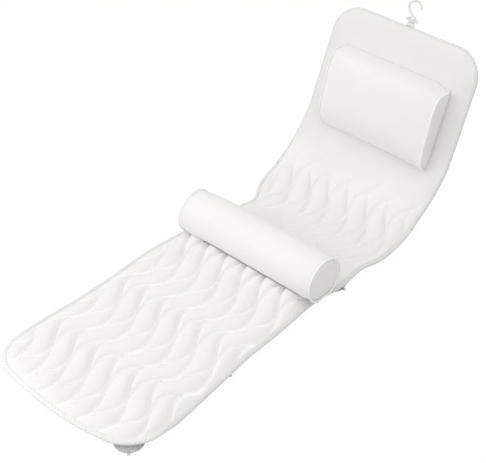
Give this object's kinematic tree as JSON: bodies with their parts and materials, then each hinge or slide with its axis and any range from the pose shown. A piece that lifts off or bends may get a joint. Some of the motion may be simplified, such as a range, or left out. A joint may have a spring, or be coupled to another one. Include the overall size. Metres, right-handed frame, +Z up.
{
  "type": "bath pillow",
  "caption": "Full-length quilted bath mat with a rising back, a sewn-on head pillow, a loose bolster roll, suction cups underneath and a hanging hook",
  "frame": {"origin": "under the middle of the overall box, on the plane that the leg panel's suction cups stand on", "axes": "+X across the mat to the user's right side as seen from the foot, +Y from foot to head, +Z up"},
  "size_m": [0.38, 1.0856, 0.4291],
  "materials": {
    "quilt_cloth": "white quilted air-mesh knit, matte",
    "smooth_cloth": "white smooth brushed knit, matte",
    "spacer_mesh": "white open spacer mesh",
    "backing_cloth": "white net backing",
    "binding_tape": "white knitted edge tape",
    "webbing": "white woven webbing",
    "fibre": "white polyester fibre filling",
    "hook_and_loop": "white hook-and-loop tape",
    "soft_vinyl": "clear grey soft vinyl, glossy",
    "hook_plastic": "pale grey moulded plastic"
  },
  "bodies": {
    "leg_section": {"leg_quilt_cover": "quilt_cloth", "leg_spacer_core": "spacer_mesh", "leg_backing": "backing_cloth", "leg_binding": "binding_tape", "cup_tape_foot": "webbing", "cup_tape_calf": "webbing", "cup_tape_thigh": "webbing", "cup_tape_seat": "webbing", "bolster_loop_strip": "hook_and_loop"},
    "lumbar_section": {"lumbar_quilt_cover": "quilt_cloth", "lumbar_spacer_core": "spacer_mesh", "lumbar_backing": "backing_cloth", "lumbar_binding_left": "binding_tape", "lumbar_binding_right": "binding_tape"},
    "shoulder_section": {"shoulder_cover": "smooth_cloth", "shoulder_spacer_core": "spacer_mesh", "shoulder_backing": "backing_cloth", "shoulder_binding_left": "binding_tape", "shoulder_binding_right": "binding_tape", "cup_tape_shoulder": "webbing"},
    "head_section": {"head_cover": "smooth_cloth", "head_spacer_core": "spacer_mesh", "head_backing": "backing_cloth", "head_binding": "binding_tape", "cup_tape_head": "webbing", "pillow_seam_tape": "binding_tape", "hook_loop": "webbing"},
    "bolster": {"bolster_hook_strip": "hook_and_loop", "bolster_cover": "smooth_cloth", "bolster_core": "fibre", "bolster_end_left": "smooth_cloth", "bolster_end_right": "smooth_cloth", "bolster_piping_left": "binding_tape", "bolster_piping_right": "binding_tape"},
    "head_pillow": {"pillow_cover": "smooth_cloth", "pillow_fill": "fibre", "pillow_gusset_left": "smooth_cloth", "pillow_gusset_right": "smooth_cloth", "pillow_piping_left": "binding_tape", "pillow_piping_right": "binding_tape"},
    "hook": {"hanging_hook": "hook_plastic"},
    "cup_foot_left": {"suction_cup_foot_left": "soft_vinyl"},
    "cup_foot_right": {"suction_cup_foot_right": "soft_vinyl"},
    "cup_calf_left": {"suction_cup_calf_left": "soft_vinyl"},
    "cup_calf_right": {"suction_cup_calf_right": "soft_vinyl"},
    "cup_thigh_left": {"suction_cup_thigh_left": "soft_vinyl"},
    "cup_thigh_right": {"suction_cup_thigh_right": "soft_vinyl"},
    "cup_seat_left": {"suction_cup_seat_left": "soft_vinyl"},
    "cup_seat_right": {"suction_cup_seat_right": "soft_vinyl"},
    "cup_shoulder_left": {"suction_cup_shoulder_left": "soft_vinyl"},
    "cup_shoulder_right": {"suction_cup_shoulder_right": "soft_vinyl"},
    "cup_head_left": {"suction_cup_head_left": "soft_vinyl"},
    "cup_head_right": {"suction_cup_head_right": "soft_vinyl"}
  },
  "joints": [
    {"name": "seat_bend", "type": "hinge", "parent": "leg_section", "child": "lumbar_section", "pos_m": [0, 0.27222, 0.02075], "axis": [1, 0, 0], "range_deg": [-22.7, 7.3]},
    {"name": "lumbar_bend", "type": "hinge", "parent": "lumbar_section", "child": "shoulder_section", "pos_m": [0, 0.35525, 0.05548], "axis": [1, 0, 0], "range_deg": [-22.7, 7.3]},
    {"name": "shoulder_bend", "type": "hinge", "parent": "shoulder_section", "child": "head_section", "pos_m": [0, 0.42195, 0.12312], "axis": [1, 0, 0], "range_deg": [-22.7, 7.3]},
    {"name": "bolster_lift", "type": "slide", "parent": "leg_section", "child": "bolster", "axis": [0, 0, 1], "range_m": [0, 0.25]},
    {"name": "head_pillow_lift", "type": "hinge", "parent": "head_section", "child": "head_pillow", "pos_m": [0, 0.47685, 0.30044], "axis": [-1, 0, 0], "range_deg": [0, 70]},
    {"name": "hook_swing", "type": "hinge", "parent": "head_section", "child": "hook", "pos_m": [-0.002, 0.52449, 0.38691], "axis": [1, 0, 0], "range_deg": [-90, 90]},
    {"name": "cup_foot_left_turn", "type": "hinge", "parent": "leg_section", "child": "cup_foot_left", "pos_m": [-0.15, -0.48578, 0.01], "axis": [0, 0, 1], "continuous": true},
    {"name": "cup_foot_right_turn", "type": "hinge", "parent": "leg_section", "child": "cup_foot_right", "pos_m": [0.15, -0.48578, 0.01], "axis": [0, 0, 1], "continuous": true},
    {"name": "cup_calf_left_turn", "type": "hinge", "parent": "leg_section", "child": "cup_calf_left", "pos_m": [-0.14, -0.24278, 0.01], "axis": [0, 0, 1], "continuous": true},
    {"name": "cup_calf_right_turn", "type": "hinge", "parent": "leg_section", "child": "cup_calf_right", "pos_m": [0.14, -0.24278, 0.01], "axis": [0, 0, 1], "continuous": true},
    {"name": "cup_thigh_left_turn", "type": "hinge", "parent": "leg_section", "child": "cup_thigh_left", "pos_m": [-0.143, 0.09922, 0.01], "axis": [0, 0, 1], "continuous": true},
    {"name": "cup_thigh_right_turn", "type": "hinge", "parent": "leg_section", "child": "cup_thigh_right", "pos_m": [0.143, 0.09922, 0.01], "axis": [0, 0, 1], "continuous": true},
    {"name": "cup_seat_left_turn", "type": "hinge", "parent": "leg_section", "child": "cup_seat_left", "pos_m": [-0.13, 0.22722, 0.01], "axis": [0, 0, 1], "continuous": true},
    {"name": "cup_seat_right_turn", "type": "hinge", "parent": "leg_section", "child": "cup_seat_right", "pos_m": [0.13, 0.22722, 0.01], "axis": [0, 0, 1], "continuous": true},
    {"name": "cup_shoulder_left_turn", "type": "hinge", "parent": "shoulder_section", "child": "cup_shoulder_left", "pos_m": [-0.13, 0.39626, 0.08175], "axis": [0, -0.712, 0.7022], "continuous": true},
    {"name": "cup_shoulder_right_turn", "type": "hinge", "parent": "shoulder_section", "child": "cup_shoulder_right", "pos_m": [0.13, 0.39626, 0.08175], "axis": [0, -0.712, 0.7022], "continuous": true},
    {"name": "cup_head_left_turn", "type": "hinge", "parent": "head_section", "child": "cup_head_left", "pos_m": [-0.13, 0.50839, 0.30932], "axis": [0, -0.9278, 0.373], "continuous": true},
    {"name": "cup_head_right_turn", "type": "hinge", "parent": "head_section", "child": "cup_head_right", "pos_m": [0.13, 0.50839, 0.30932], "axis": [0, -0.9278, 0.373], "continuous": true}
  ],
  "couplings": [
    {"joint": "lumbar_bend", "follows": "seat_bend", "ratio": 1},
    {"joint": "shoulder_bend", "follows": "seat_bend", "ratio": 1}
  ]
}
